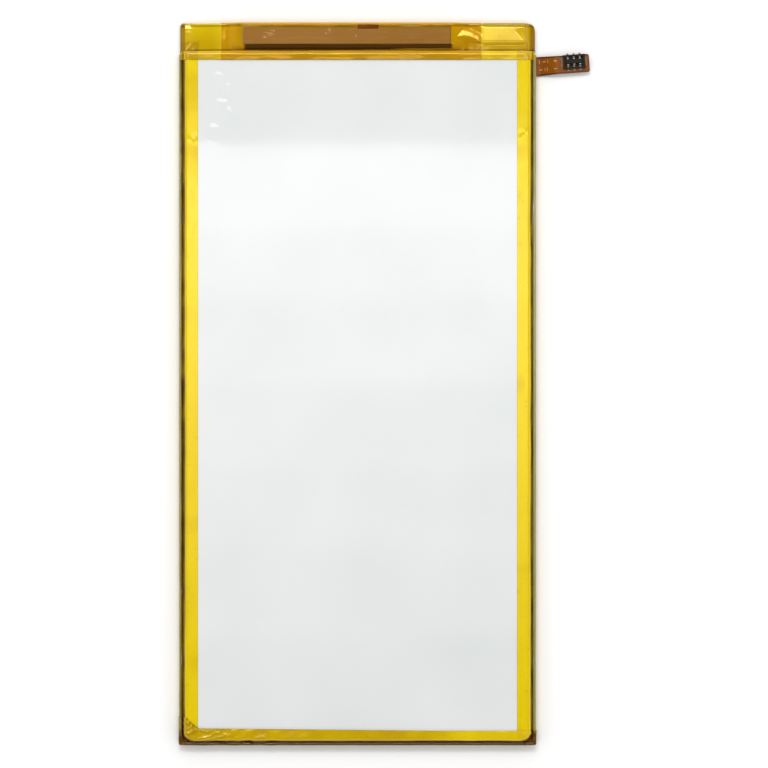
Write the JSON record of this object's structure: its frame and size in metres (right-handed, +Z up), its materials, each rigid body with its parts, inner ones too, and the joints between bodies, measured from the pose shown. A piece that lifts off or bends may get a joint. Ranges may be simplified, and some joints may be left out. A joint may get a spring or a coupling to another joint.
{
  "type": "tablet battery",
  "caption": "Flat lithium-polymer pouch pack with folded seams, taped edges, a taped board end and a short flex tail with a board-to-board connector.",
  "frame": {"origin": "centre of the taped body's 77 by 156 mm outline, on the plane of the flat underside", "axes": "+Z up out of the visible face, +Y to the terrace end with the protection board, +X to the side that the flex tail leaves from"},
  "size_m": [0.0888, 0.156, 0.0035],
  "materials": {
    "pouch_laminate": "satin laminate",
    "yellow_tape": "glossy film",
    "amber_tape": "glossy film, two layers",
    "fibre_paper": "matt fibre paper",
    "circuit_board": "satin solder mask",
    "nickel": "satin nickel",
    "aluminium": "mill finish",
    "tab_film": "satin sealing film",
    "flex_film": "glossy film over copper",
    "stiffener": "matt laminate",
    "connector_plastic": "moulded, matt",
    "gold_plate": "thin gold plating",
    "chip_package": "moulded, matt",
    "chip_ceramic": "fired ceramic",
    "chip_resistor": "glazed ceramic"
  },
  "bodies": {
    "root": {"pouch_cell": "pouch_laminate", "left_side_tape": "yellow_tape", "right_side_tape": "yellow_tape", "bottom_tape": "yellow_tape", "top_tape": "yellow_tape", "amber_tape": "amber_tape", "fibre_strip": "fibre_paper", "terrace_insulation": "amber_tape", "protection_board": "circuit_board", "negative_weld_pad": "nickel", "positive_weld_pad": "nickel", "negative_tab": "nickel", "positive_tab": "aluminium", "negative_tab_film": "tab_film", "positive_tab_film": "tab_film", "protection_ic": "chip_package", "backup_protection_ic": "chip_package", "switching_transistor_1": "chip_package", "switching_transistor_2": "chip_package", "current_sense_resistor": "chip_resistor", "chip_fuse": "nickel", "thermistor": "chip_ceramic", "chip_resistor_1": "chip_resistor", "chip_resistor_2": "chip_resistor", "chip_resistor_3": "chip_resistor", "chip_capacitor_1": "chip_ceramic", "chip_capacitor_2": "chip_ceramic", "chip_capacitor_3": "chip_ceramic", "flex_circuit": "flex_film", "connector_stiffener": "stiffener", "connector_housing": "connector_plastic", "connector_contact_1": "gold_plate", "connector_contact_2": "gold_plate", "connector_contact_3": "gold_plate", "connector_contact_4": "gold_plate", "connector_contact_5": "gold_plate", "connector_contact_6": "gold_plate", "left_hold_down": "nickel", "right_hold_down": "nickel"}
  },
  "joints": []
}
